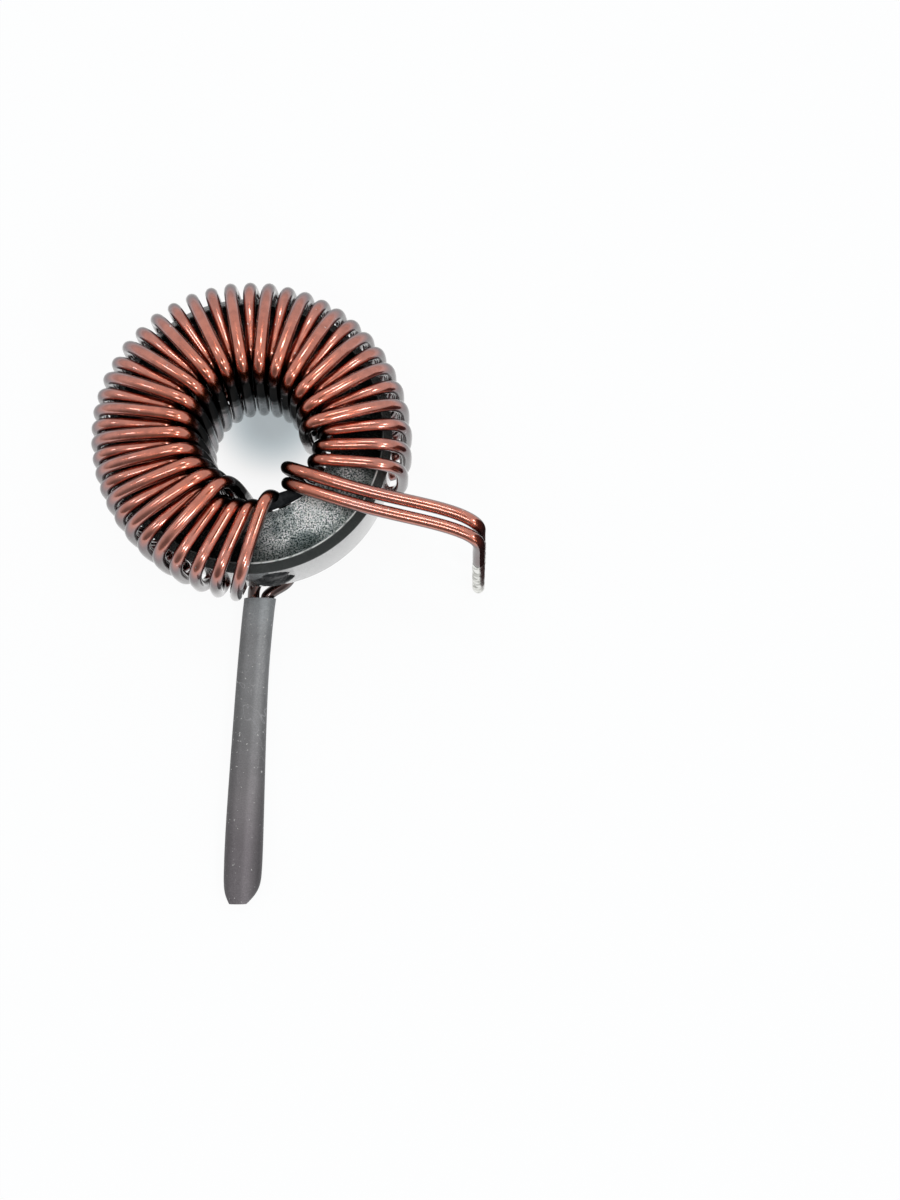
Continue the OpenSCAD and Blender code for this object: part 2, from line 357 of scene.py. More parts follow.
def route(first, side, under, *finished):
    """Guide points of one wire, whose passes are every second one from the first."""
    guides = start(first, side, under)
    for k in range(first, PASSES, 2):
        guides += turn(k)
    return guides + finish(PASSES - 2 + first, *finished)


def route_a():
    end = (FINISH_A_R, FINISH_A_DEG, FINISH_A_DROPS, FINISH_A, TIP_A, FALL_A)
    return route(0, 1, START_A, *end)


def route_b():
    end = (FINISH_B_R, FINISH_B_DEG, FINISH_B_DROPS, FINISH_B, TIP_B, FALL_B)
    return route(1, -1, START_B, *end)


# ---------------------------------------------------------------- meshes


def new_mesh(name, points, faces):
    """A smoothly shaded mesh object from points in millimetres."""
    mesh = bpy.data.meshes.new(name)
    mesh.from_pydata([tuple(mm(c) for c in p) for p in points], [], faces)
    mesh.validate()
    mesh.polygons.foreach_set("use_smooth", [True] * len(mesh.polygons))
    mesh.update()
    piece = bpy.data.objects.new(name, mesh)
    bpy.context.scene.collection.objects.link(piece)
    return piece


def skin_faces(rings, sides):
    """Quads over rings of points, joined end to end, with flat ends."""
    faces = []
    for i in range(rings - 1):
        low, high = i * sides, (i + 1) * sides
        for j in range(sides):
            k = (j + 1) % sides
            faces.append((low + j, low + k, high + k, high + j))
    faces.append(tuple(range(sides - 1, -1, -1)))
    faces.append(tuple((rings - 1) * sides + j for j in range(sides)))
    return faces


def tube(name, path, radii):
    """A round tube along a path, with its seam away from the middle of the core's section."""
    along = np.gradient(path, axis=0)
    along /= np.linalg.norm(along, axis=1)[:, None]
    flat = path[:, :2] / np.linalg.norm(path[:, :2], axis=1)[:, None] * CORE_MID_R
    away = path - np.column_stack((flat, np.full(len(path), CORE_MID_Z)))
    out = away - (away * along).sum(1)[:, None] * along
    out /= np.linalg.norm(out, axis=1)[:, None]
    across = np.cross(along, out)
    angles = np.linspace(0, 2 * math.pi, WIRE_SIDES, endpoint=False)
    ring = (
        np.cos(angles)[None, :, None] * out[:, None]
        + np.sin(angles)[None, :, None] * across[:, None]
    )
    points = path[:, None] + radii[:, None, None] * ring
    return new_mesh(name, points.reshape(-1, 3), skin_faces(len(path), WIRE_SIDES))


def lathe(name, profile, sides):
    """A ring turned round the Z axis from a closed profile of (radius, height)."""
    count = len(profile)
    points = [polar(r, 360 * j / sides, z) for j in range(sides) for r, z in profile]
    faces = []
    for j in range(sides):
        here, there = j * count, ((j + 1) % sides) * count
        for i in range(count):
            k = (i + 1) % count
            faces.append((here + i, there + i, there + k, here + k))
    return new_mesh(name, points, faces)


def rounded(corners, radius, steps):
    """A closed profile with each corner rounded."""
    out = []
    n = len(corners)
    for i in range(n):
        a, b, c = (np.array(corners[(i + d) % n], float) for d in (-1, 0, 1))
        into, away = unit(b - a), unit(c - b)
        half = math.acos(float(np.clip(into @ away, -1, 1))) / 2
        cut = radius * math.tan(half)
        p, q = b - cut * into, b + cut * away
        for s in range(steps + 1):
            t = s / steps
            out.append(tuple((1 - t) ** 2 * p + 2 * t * (1 - t) * b + t**2 * q))
    return out


def core_piece():
    """The bevelled ring core."""
    inner, outer, c = CORE_INNER_R, CORE_OUTER_R, CORE_CHAMFER
    low, high = CORE_LIFT, CORE_LIFT + CORE_H
    corners = (
        (inner, low + c),
        (inner + c, low),
        (outer - c, low),
        (outer, low + c),
        (outer, high - c),
        (outer - c, high),
        (inner + c, high),
        (inner, high - c),
    )
    profile = rounded(corners, CORE_ROUND_R, CORE_ROUND_STEPS)
    return lathe("core_ring", profile, CORE_SIDES)


def wire_piece(name, guides, tip):
    """One wire along its route, without its enamel inside the solder."""
    path = curve(guides, WIRE_FINE)
    to_tip = np.linalg.norm(path - tip, axis=1)
    radii = np.where(to_tip < SOLDER_LEN + ENAMEL_BACK, WIRE_BARE_R, WIRE_DRAWN_R)
    return tube(name, path, radii)


def oval(centre, half_w, half_h):
    """Points on an upright oval round the sleeve's middle line, with flattened sides."""
    angles = np.linspace(0, 2 * math.pi, SLEEVE_SIDES, endpoint=False)
    c, s = np.cos(angles), np.sin(angles)
    x = centre[0] + half_w * np.sign(c) * np.abs(c) ** SLEEVE_SQUARE
    z = PAIR_Z + half_h * np.sign(s) * np.abs(s) ** SLEEVE_SQUARE
    return np.column_stack((x, np.full(SLEEVE_SIDES, centre[1]), z))


def sleeve_piece():
    """Oval sleeve with its wall showing at the mouth, pressed flat at its far end."""
    middle = [(x, MOUTH_Y - at, PAIR_W + w, PAIR_H + h) for x, at, w, h in SLEEVE_ROUTE]
    middle += [(x, MOUTH_Y - at, w, h) for x, at, w, h in SLEEVE_END]
    outer = curve(middle, SLEEVE_FINE)
    hollow = [p for p in outer if p[1] > middle[-1][1] + SLEEVE_FLAT][::-1]
    rings = [oval(p, p[2] / 2 - SLEEVE_WALL, p[3] / 2 - SLEEVE_WALL) for p in hollow]
    rings += [oval(p, p[2] / 2 - SLEEVE_INSET, p[3] / 2 - SLEEVE_INSET) for p in outer]
    return new_mesh("shrink_sleeve", np.vstack(rings), skin_faces(len(rings), SLEEVE_SIDES))


def bead_piece():
    """Nearly black bead along the core's inner edge, between the first turn and the two leads."""
    path = curve([polar(r, deg, z) for r, deg, z in BEAD_ROUTE], WIRE_FINE)
    swell = np.sin(math.pi * np.linspace(0, 1, len(path))) ** 0.5
    radii = BEAD_R * (BEAD_THIN + (1 - BEAD_THIN) * swell)
    return tube("dark_bead", path, radii)


def shade_patch_piece():
    """Dark patch down the core's outer wall, behind the sleeve's mouth, standing in for the shade
    there.
    """
    path = curve([polar(SHADE_PATCH_R, deg, z) for deg, z in SHADE_PATCH_ROUTE], WIRE_FINE)
    steps = np.linspace(0, 1, len(path))
    ragged = 1 + SHADE_PATCH_WAVE_W * np.sin(SHADE_PATCH_WAVES * steps)
    radii = SHADE_PATCH_W * ragged * np.sqrt(np.sin(math.pi * steps) + SHADE_PATCH_END)
    piece = tube("shade_patch", path, radii)
    for vertex in piece.data.vertices:
        r = math.hypot(vertex.co.x, vertex.co.y)
        flat = 1 + (mm(SHADE_PATCH_R) / r - 1) * (1 - SHADE_PATCH_FLAT)
        vertex.co.x *= flat
        vertex.co.y *= flat
    return piece


def solder_piece(name, tip, fall):
    """Uneven skin of solder on a lead: a tapered collar at its top and a round end."""
    up = -unit(fall)
    side_a = unit(np.cross(up, (0, 1, 0)))
    side_b = np.cross(up, side_a)
    points = []
    for m in SOLDER_MARKS:
        end = math.sqrt(max(0.0, 1 - (1 - min(m / SOLDER_ROUND, 1)) ** 2))
        collar = min(1.0, COLLAR_END + COLLAR_SLOPE * (SOLDER_LEN - m))
        r = SOLDER_D / 2 * (SOLDER_END + SOLDER_SWELL * end) * collar
        for j in range(SOLDER_SIDES):
            a = 2 * math.pi * j / SOLDER_SIDES
            ripple = 1.0
            for share, waves, per_mm in RIPPLES:
                ripple -= share * (1 + math.sin(waves * a + per_mm * m))
            points.append(tip + m * up + r * ripple * (math.cos(a) * side_a + math.sin(a) * side_b))
    return new_mesh(name, points, skin_faces(len(SOLDER_MARKS), SOLDER_SIDES))


# ---------------------------------------------------------------- materials

BLACK = (0, 0, 0)
WHITE = (1, 1, 1)


def grey(shade):
    return (shade, shade, shade)


class Nodes:
    """Adds nodes to one material or world and joins them. What it hands back are node outputs."""

    def __init__(self, owner, output="ShaderNodeOutputMaterial"):
        owner.use_nodes = True
        self.owner = owner
        self.tree = owner.node_tree
        self.tree.nodes.clear()
        self.output = self.add(output)
        self.coords = self.add("ShaderNodeTexCoord").outputs
        self.place = self.coords["Object"]

    def add(self, kind, inputs=None, **settings):
        """Adds a node: an input is a plain value, a three-part colour or another node's output."""
        node = self.tree.nodes.new(kind)
        for key, value in settings.items():
            setattr(node, key, value)
        for name, value in (inputs or {}).items():
            socket = node.inputs[name]
            if isinstance(value, bpy.types.NodeSocket):
                self.tree.links.new(value, socket)
            else:
                socket.default_value = (*value, 1) if socket.type == "RGBA" else value
        return node

    def surface(self, shader):
        """Joins the last shader to the output."""
        self.tree.links.new(shader.outputs[0], self.output.inputs["Surface"])

    def number(self, operation, *values):
        node = self.add("ShaderNodeMath", dict(enumerate(values)), operation=operation)
        return node.outputs["Value"]

    def vector(self, operation, *values, gives="Vector"):
        node = self.add("ShaderNodeVectorMath", dict(enumerate(values)), operation=operation)
        return node.outputs[gives]

    def along(self, vector, direction):
        """How far a vector reaches along a direction."""
        return self.vector("DOT_PRODUCT", vector, direction, gives="Value")

    def map_range(self, value, low, high, to_low=0.0, to_high=1.0, **settings):
        inputs = {"Value": value, "From Min": low, "From Max": high}
        inputs.update({"To Min": to_low, "To Max": to_high})
        return self.add("ShaderNodeMapRange", inputs, **settings).outputs["Result"]

    def ramp(self, value, stops):
        """Colours along a value, from (place, colour) stops."""
        node = self.add("ShaderNodeValToRGB", {"Fac": value})
        elements = node.color_ramp.elements
        while len(elements) < len(stops):
            elements.new(0.5)
        for element, (place, colour) in zip(elements, stops):
            element.position = place
            element.color = (*colour, 1)
        return node.outputs["Color"]

    def mix(self, factor, a, b, blend="MIX"):
        """Mix of two colours. The node's sockets share their names, so they are told by number."""
        sockets = {0: factor, 6: a, 7: b}
        node = self.add("ShaderNodeMix", sockets, data_type="RGBA", blend_type=blend)
        return node.outputs[2]

    def multiply(self, product, *others):
        """Product of some colours."""
        for other in others:
            product = self.mix(1.0, product, other, "MULTIPLY")
        return product

    def noise(self, scale, detail, rough=0.5, distortion=0.0):
        inputs = {"Scale": scale, "Detail": detail, "Roughness": rough, "Distortion": distortion}
        return self.add("ShaderNodeTexNoise", {"Vector": self.place, **inputs}).outputs["Fac"]

    def level(self):
        """Vector from the ring's axis to the shaded point, square to the axis."""
        return self.vector("MULTIPLY", self.place, (1, 1, 0))

    def radius(self):
        return self.vector("LENGTH", self.level(), gives="Value")

    def height(self):
        return self.along(self.place, (0, 0, 1))

    def share(self, value, whole):
        """A distance as a share of a length in millimetres."""
        return self.number("MULTIPLY", value, 1 / mm(whole))

    def between(self, value, limits, low, high):
        """Colours that change from low to high as a distance passes two limits in millimetres."""
        passed = self.map_range(value, mm(limits[0]), mm(limits[1]))
        return self.ramp(passed, ((0, low), (1, high)))

    def near(self, spot, radii, inside, outside, **settings):
        """One value near a spot and another away from it, with two radii in millimetres."""
        away = self.vector("DISTANCE", self.place, [mm(v) for v in spot], gives="Value")
        return self.map_range(away, mm(radii[0]), mm(radii[1]), inside, outside, **settings)

    def facing(self):
        """How far the surface turns away from the eye, from 0 to 1."""
        return self.add("ShaderNodeLayerWeight", {"Blend": 0.5}).outputs["Facing"]

    def bump(self, value, distance):
        node = self.add("ShaderNodeBump", {"Height": value, "Distance": distance})
        return node.outputs["Normal"]

    def principled(self, inputs):
        self.surface(self.add("ShaderNodeBsdfPrincipled", inputs))


# Each noise below is given as its scale, its detail and its roughness, which is 0.5 where left out;
# the scuffs' noise has a distortion too. Names that end in _M are in metres

COPPER_MOTTLE = (700, 3)
COPPER_TONES = ((0.3, (0.52, 0.13, 0.07)), (0.7, (0.74, 0.225, 0.14)))
# Painted shade and sheen: edge-on, the copper turns a dull greyish pink, for the shaded sides
# between the wires and the enamel's grazing sheen
COPPER_PAINTED_EDGE = (0.22, 0.135, 0.135)
COPPER_PAINTED_EDGE_STOPS = ((0.28, BLACK), (0.45, grey(0.6)), (0.62, WHITE))
COPPER_SHEEN = (0.15, 0.12, 0.12)
COPPER_ROUGH = (0.2, 0.31)
COPPER_ROUGH_NOISE = (500, 2)
COPPER_DENTS = (350, 2)
COPPER_DENT_M = 0.00003
COPPER_DUST = (1500, 2)
COPPER_DUST_STOPS = ((0.74, BLACK), (0.77, WHITE))
COPPER_DUST_TONE = grey(0.8)
ENAMEL_ROUGH = 0.03
ENAMEL_IOR = 2.0

# The enamel's tint at distances from the ring's axis, in millimetres, is painted light: a darker
# orange by the bore for its painted shade and copper-on-copper reflection, mauve round the outside
# for a painted reflection of the pale room, plain on the leads
TINT_REACH = 30
PAINTED_TINTS = (
    (12, (0.92, 0.78, 0.62)),
    (15, (0.93, 0.88, 0.82)),
    (18.5, (0.86, 0.92, 1)),
    (22, (0.86, 0.92, 1)),
    (25, (0.93, 0.93, 0.9)),
)

# Painted shade darkens the wires down the core's inner wall; those that ride over the others turn
# a painted grey reflection below a ragged edge. Radii and heights are in millimetres
BORE_SHADE_R = (11.1, 11.4)
BORE_SHADE_Z = (20.5, 23)
BORE_SHADE_SHARE = 0.05
REFLECTION_Z = (10.5, 15)
REFLECTION_R = (8.6, 9.1)
REFLECTION_GREY = (0.17, 0.17, 0.19)
RAGS = (650, 3, 0.6)
RAG_DEPTH = 5

# Painted shade darkens the copper round this spot by the sleeve's mouth, under the core
START_SHADE_SPOT = (1.5, -20.5, 2)
START_SHADE_R = (4, 7)
START_SHADE_SHARE = 0.12


def enamel_material():
    """Copper under clear enamel, with painted light: a dull tone edge-on, painted shade down the
    bore and by the sleeve, a painted grey reflection on the riding wires in the bore and a painted
    tint by distance from the axis.
    """
    m = Nodes(bpy.data.materials.new("enamelled_copper"))
    radius, height = m.radius(), m.height()
    copper = m.ramp(m.noise(*COPPER_MOTTLE), COPPER_TONES)
    # Painted shade and sheen: the copper dulls to its edge-on tone as the surface turns away
    seen = m.mix(m.ramp(m.facing(), COPPER_PAINTED_EDGE_STOPS), copper, COPPER_PAINTED_EDGE)
    # Painted light: a tint by distance from the ring's axis
    tint = m.ramp(m.share(radius, TINT_REACH), [(r / TINT_REACH, tone) for r, tone in PAINTED_TINTS])

    # Painted shade down the bore, and a painted grey reflection on the riding wires there
    down_wall = m.between(height, BORE_SHADE_Z, grey(BORE_SHADE_SHARE), WHITE)
    bore_shaded = m.mix(m.between(radius, BORE_SHADE_R, BLACK, WHITE), down_wall, WHITE)
    ragged = m.number("MULTIPLY_ADD", m.noise(*RAGS), mm(RAG_DEPTH), height)
    below = m.between(ragged, [z + RAG_DEPTH / 2 for z in REFLECTION_Z], WHITE, BLACK)
    reflection_mask = m.multiply(m.between(radius, REFLECTION_R, WHITE, BLACK), below)
    shade = m.mix(reflection_mask, bore_shaded, WHITE)

    # Painted shade round the spot by the sleeve's mouth
    start_shade = m.near(START_SHADE_SPOT, START_SHADE_R, START_SHADE_SHARE, 1.0)
    greyed = m.mix(reflection_mask, m.multiply(seen, tint, shade, start_shade), REFLECTION_GREY)
    dust = m.ramp(m.noise(*COPPER_DUST), COPPER_DUST_STOPS)
    m.principled(
        {
            "Base Color": m.mix(dust, greyed, COPPER_DUST_TONE),
            "Metallic": 1.0,
            "Specular Tint": COPPER_SHEEN,
            "Roughness": m.map_range(m.noise(*COPPER_ROUGH_NOISE), 0, 1, *COPPER_ROUGH),
            "Coat Weight": shade,
            "Coat Roughness": ENAMEL_ROUGH,
            "Coat IOR": ENAMEL_IOR,
            "Normal": m.bump(m.noise(*COPPER_DENTS), COPPER_DENT_M),
        }
    )
    return m.owner


DARK_FILL_MOTTLE = (900, 3)
DARK_FILL_TONES = ((0.35, (0.006, 0.007, 0.008)), (0.75, (0.03, 0.032, 0.034)))
DARK_FILL_ROUGH = (0.15, 0.6)
DARK_FILL_ROUGH_NOISE = (800, 2)
DARK_FILL_DENT_M = 0.0005
DARK_FILL_IOR = 1.15


def dark_fill_material():
    """Nearly black and glossy in places, for the dark bead and for the patch of painted shade on
    the outer wall.
    """
    m = Nodes(bpy.data.materials.new("dark_fill"))
    mottle = m.noise(*DARK_FILL_MOTTLE)
    m.principled(
        {
            "Base Color": m.ramp(mottle, DARK_FILL_TONES),
            "Roughness": m.map_range(m.noise(*DARK_FILL_ROUGH_NOISE), 0, 1, *DARK_FILL_ROUGH),
            "IOR": DARK_FILL_IOR,
            "Normal": m.bump(mottle, DARK_FILL_DENT_M),
        }
    )
    return m.owner


# The core's flat faces and its inner bevel, told by how upright they face and by the bevel's radii
LEVEL_STOPS = ((0.94, BLACK), (0.98, WHITE))
BEVEL_STOPS = ((0.3, BLACK), (0.5, WHITE))
INNER_BEVEL_R = (13.3, 13.6)

# The middle of the ring's open sector, and the face's painted shade under the winding, by the
# cosine of the angle from it
OPEN_DEG = -53
WINDING_SHADE_STOPS = ((0.77, grey(0.12)), (0.82, WHITE))

# The face's edge as a share of the core's radius, the margin inside it and a painted highlight
# along
# the edge: a bright metallic line, broken in places
FACE_EDGE = (CORE_OUTER_R - CORE_CHAMFER) / CORE_OUTER_R
MARGIN_STOPS = ((FACE_EDGE - 0.13, WHITE), (FACE_EDGE - 0.03, (0.35, 0.38, 0.37)))
EDGE_LINE_STOPS = (
    (FACE_EDGE - 0.008, BLACK),
    (FACE_EDGE - 0.003, WHITE),
    (FACE_EDGE + 0.001, WHITE),
    (FACE_EDGE + 0.005, BLACK),
)
EDGE_LINE_BREAKS = (600, 3)
EDGE_LINE_BREAK_STOPS = ((0.36, grey(0.25)), (0.5, WHITE))
EDGE_LINE_TONE = (0.85, 0.88, 0.87)

# The grain of the open face, with a painted highlight that makes it brightest round one spot
GRAIN = (4400, 4, 0.75)
GRAIN_STOPS = ((0.42, (0.01, 0.025, 0.025)), (0.5, (0.38, 0.46, 0.45)), (0.545, WHITE))
GRAIN_DENT_M = 0.0002
PATCHES = (230, 3, 0.6)
PATCH_STOPS = ((0.38, (0.3, 0.34, 0.34)), (0.58, WHITE))
BRIGHT_SPOT = (9.5, -10, 20.2)
BRIGHT_R = (1, 10)
BRIGHT_SHARES = (2.1, 0.45)

SMOOTH_COATING = (0.008, 0.013, 0.012)
COATING_IOR = 1.4
COATING_ROUGH = 0.08
METAL_ROUGH = 0.38
GLAZE_STOPS = ((0.5, BLACK), (0.75, grey(0.93)))
GLAZE_IOR = 2.2
GLAZE_ROUGH = 0.05


def core_material():
    """Green-black coating: grains of metal sparkle on the open flat face, the rest is smooth.
    Painted light: shade on the face under the winding, a brighter spot on the open face and a
    bright metallic line for the edge's highlight.
    """
    m = Nodes(bpy.data.materials.new("core_coating"))
    radius = m.radius()
    upright = m.number("ABSOLUTE", m.along(m.coords["Normal"], (0, 0, 1)))
    level_face = m.ramp(upright, LEVEL_STOPS)
    within = m.between(radius, INNER_BEVEL_R, WHITE, BLACK)
    inner_bevel = m.multiply(within, m.ramp(upright, BEVEL_STOPS))
    outward = m.vector("NORMALIZE", m.level())
    # Painted shade: the face and its edge line darken away from the open sector, under the winding
    winding_shade = m.ramp(m.along(outward, polar(1, OPEN_DEG)), WINDING_SHADE_STOPS)
    reach = m.share(radius, CORE_OUTER_R)

    grain = m.noise(*GRAIN)
    powder = m.ramp(grain, GRAIN_STOPS)
    patches = m.ramp(m.noise(*PATCHES), PATCH_STOPS)
    margin = m.ramp(reach, MARGIN_STOPS)
    # Painted highlight round one spot on the open face
    painted_glint = m.near(BRIGHT_SPOT, BRIGHT_R, *BRIGHT_SHARES)
    face = m.multiply(powder, patches, winding_shade, margin, painted_glint)
    coated = m.mix(m.mix(inner_bevel, level_face, WHITE), SMOOTH_COATING, face)
    # Painted highlight: a bright metallic line along the face's outer edge
    broken = m.ramp(m.noise(*EDGE_LINE_BREAKS), EDGE_LINE_BREAK_STOPS)
    edge_highlight = m.multiply(m.ramp(reach, EDGE_LINE_STOPS), winding_shade, broken)
    metal = m.mix(edge_highlight, level_face, WHITE)
    m.principled(
        {
            "Base Color": m.mix(edge_highlight, coated, EDGE_LINE_TONE),
            "Metallic": metal,
            "Roughness": m.mix(metal, grey(COATING_ROUGH), grey(METAL_ROUGH)),
            "IOR": COATING_IOR,
            "Coat Weight": m.ramp(m.facing(), GLAZE_STOPS),
            "Coat Roughness": GLAZE_ROUGH,
            "Coat IOR": GLAZE_IOR,
            "Normal": m.bump(grain, GRAIN_DENT_M),
        }
    )
    return m.owner


# The sleeve's tones from its mouth to its far end, painted light: much paler and cooler by the
# ring, darker and warmer toward the far end
SLEEVE_PAINTED_TONES = (
    (0.0, (0.515, 0.55, 0.57)),
    (0.15, (0.36, 0.37, 0.38)),
    (0.5, (0.27, 0.27, 0.277)),
    (0.74, (0.26, 0.243, 0.255)),
    (0.9, (0.205, 0.185, 0.2)),
)

# Its lean from the Y axis, the places of its sides once that is taken off, and its painted shade
# across: dark flanks and a painted highlight stripe right of the middle
SLEEVE_LEAN = 0.0467
SLEEVE_SIDES_X = (-2.09, 3.61)
SLEEVE_FLANK_SHADING = (
    (0, 0.45),
    (0.1, 0.46),
    (0.18, 0.53),
    (0.27, 0.68),
    (0.5, 0.72),
    (0.61, 1),
    (0.72, 0.9),
    (0.82, 0.58),
    (0.95, 0.34),
)

SLEEVE_CLOUDS = (260, 5, 0.6)
SLEEVE_CLOUD_STOPS = ((0.3, grey(0.84)), (0.7, WHITE))
SLEEVE_GRAIN = (5200, 2, 0.6)
SLEEVE_GRAIN_STOPS = ((0.3, grey(0.8)), (0.7, grey(1.1)))
SLEEVE_DENTS = (1500, 4, 0.6)
SLEEVE_DENT_M = 0.00015
SLEEVE_DUST = (2300, 2)
SLEEVE_DUST_STOPS = ((0.69, BLACK), (0.73, WHITE))
SLEEVE_DUST_TONE = (0.5, 0.5, 0.49)
SLEEVE_ROUGH = 0.5
SLEEVE_IOR = 1.48

# Scuffs are thin curved lines where a warped noise passes its middle value, in some patches only
SCUFFS = (140, 2, 0.5, 1.5)
SCUFF_STOPS = ((0.494, BLACK), (0.5, WHITE), (0.506, BLACK))
SCUFF_PATCHES = (90, 1)
SCUFF_PATCH_STOPS = ((0.5, BLACK), (0.6, WHITE))
SCUFF_TONE = (0.32, 0.32, 0.33)


def sleeve_material():
    """Grey shrink tube with scuffs and dust, and painted light: paler and cooler near the ring,
    darker and warmer at its far end, with painted shade on its flanks and a painted highlight
    stripe.
    """
    m = Nodes(bpy.data.materials.new("sleeve"))
    far_y = MOUTH_Y - SLEEVE_ROUTE[-1][1]
    length = m.map_range(m.along(m.place, (0, 1, 0)), mm(MOUTH_Y), mm(far_y))
    aside = m.along(m.place, (1, -SLEEVE_LEAN, 0))
    across = m.map_range(aside, mm(SLEEVE_SIDES_X[0]), mm(SLEEVE_SIDES_X[1]))
    colour = m.multiply(
        # Painted light along the sleeve
        m.ramp(length, SLEEVE_PAINTED_TONES),
        m.ramp(m.noise(*SLEEVE_CLOUDS), SLEEVE_CLOUD_STOPS),
        m.ramp(m.noise(*SLEEVE_GRAIN), SLEEVE_GRAIN_STOPS),
        # Painted shade and highlight across the sleeve
        m.ramp(across, [(at, grey(shade)) for at, shade in SLEEVE_FLANK_SHADING]),
    )
    dust = m.ramp(m.noise(*SLEEVE_DUST), SLEEVE_DUST_STOPS)
    patches = m.ramp(m.noise(*SCUFF_PATCHES), SCUFF_PATCH_STOPS)
    scuffs = m.multiply(m.ramp(m.noise(*SCUFFS), SCUFF_STOPS), patches)
    m.principled(
        {
            "Base Color": m.mix(scuffs, m.mix(dust, colour, SLEEVE_DUST_TONE), SCUFF_TONE),
            "Roughness": SLEEVE_ROUGH,
            "IOR": SLEEVE_IOR,
            "Normal": m.bump(m.noise(*SLEEVE_DENTS), SLEEVE_DENT_M),
        }
    )
    return m.owner


SOLDER_MOTTLE = (1100, 3)
SOLDER_TONES = ((0.38, (0.36, 0.36, 0.33)), (0.48, (0.72, 0.72, 0.68)), (0.7, (0.9, 0.9, 0.87)))
SOLDER_ROUGH = 0.3
SOLDER_DENTS = (1800, 3)
SOLDER_DENT_M = 0.00008


def solder_material():
    """Bright solder, mottled and slightly rough."""
    m = Nodes(bpy.data.materials.new("solder"))
    m.principled(
        {
            "Base Color": m.ramp(m.noise(*SOLDER_MOTTLE), SOLDER_TONES),
            "Metallic": 1.0,
            "Roughness": SOLDER_ROUGH,
            "Normal": m.bump(m.noise(*SOLDER_DENTS), SOLDER_DENT_M),
        }
    )
    return m.owner


def dress(piece, material, slot, *nodes):
    """Gives a piece its material and hides the CAD nodes that it stands for; the slot is not used.
    """
    piece.data.materials.clear()
    piece.data.materials.append(material)
    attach(piece, "root")
    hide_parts(*nodes)


# ---------------------------------------------------------------- studio

# The camera's place in millimetres and its direction, fitted to the outlines of the ring
CAMERA_AT = Vector((21.56, -45.25, 186.34))
CAMERA_LOOK = Vector((0.0418, 0.1266, -0.9911))
FOCAL_PX = 1187.96
IMAGE_W_PX = 900
IMAGE_H_PX = 1200
SENSOR_MM = 36.0
CLIP_START = 10

# Painted shadow: the floor's glow is dimmer and cooler round a spot in the bore: radii in
# millimetres and shares
FLOOR_HALF = 3000
FLOOR_GREY = (0.84, 0.9, 0.94)
PAINTED_SHADOW_SPOT = (1, 8, 0)
PAINTED_SHADOW_R = (2, 12)
GLOW_SHARES = (0.36, 0.93)
GLOW_STOPS = ((0.45, (0.86, 0.96, 1)), (0.85, WHITE))

# The card's sides in x and in y, and its height
CARD_X = (5, 62)
CARD_Y = (-43, 2)
CARD_Z = 192
CARD_TONE = grey(0.02)

# The drum's place, radius and height
DRUM_AT = (59.4, -24)
DRUM_R = 24
DRUM_H = 28
DRUM_SIDES = 48
DRUM_TONE = (0.1, 0.05, 0.05)

# The middle of the room's dim corner, and how bright the room is at each angle from it, in degrees
CORNER_UP = math.radians(15)
DARK_CORNER = tuple(polar(math.cos(CORNER_UP), -112, math.sin(CORNER_UP)))
ROOM_SHADES = ((70, 1.0), (52, 0.85), (38, 0.55), (20, 0.25))
ROOM_LIGHT = 0.75

# Each lamp's angle round the ring and from straight above, its size in metres and its power
LAMPS = {
    "north_lamp": (81, 27, (0.24, 0.08), 0.75),
    "south_lamp": (-99, 29, (0.28, 0.08), 0.8),
    "east_lamp": (-15, 34, (0.2, 0.12), 0.9),
    "west_lamp": (175, 36, (0.12, 0.12), 0.35),
    "corner_lamp": (-60, 55, (0.14, 0.14), 1.1),
}


def camera():
    """The camera that took the photograph."""
    data = bpy.data.cameras.new("camera")
    data.sensor_fit = "VERTICAL"
    data.sensor_height = SENSOR_MM
    data.sensor_width = SENSOR_MM * IMAGE_W_PX / IMAGE_H_PX
    data.lens = FOCAL_PX * SENSOR_MM / IMAGE_H_PX
    data.clip_start = mm(CLIP_START)
    seat = bpy.data.objects.new("camera", data)
    look = CAMERA_LOOK.normalized()
    right = look.cross(Vector((0, 1, 0))).normalized()
    up = right.cross(look)
    turn_to = Matrix((right, up, -look)).transposed()
    seat.matrix_world = Matrix.Translation(mm(CAMERA_AT)) @ turn_to.to_4x4()
    bpy.context.scene.collection.objects.link(seat)
    bpy.context.scene.camera = seat


def level_square(name, xs, ys, z):
    """A level rectangle between two values of x and two of y."""
    corners = [(xs[0], ys[0], z), (xs[1], ys[0], z), (xs[1], ys[1], z), (xs[0], ys[1], z)]
    return new_mesh(name, corners, [(0, 1, 2, 3)])


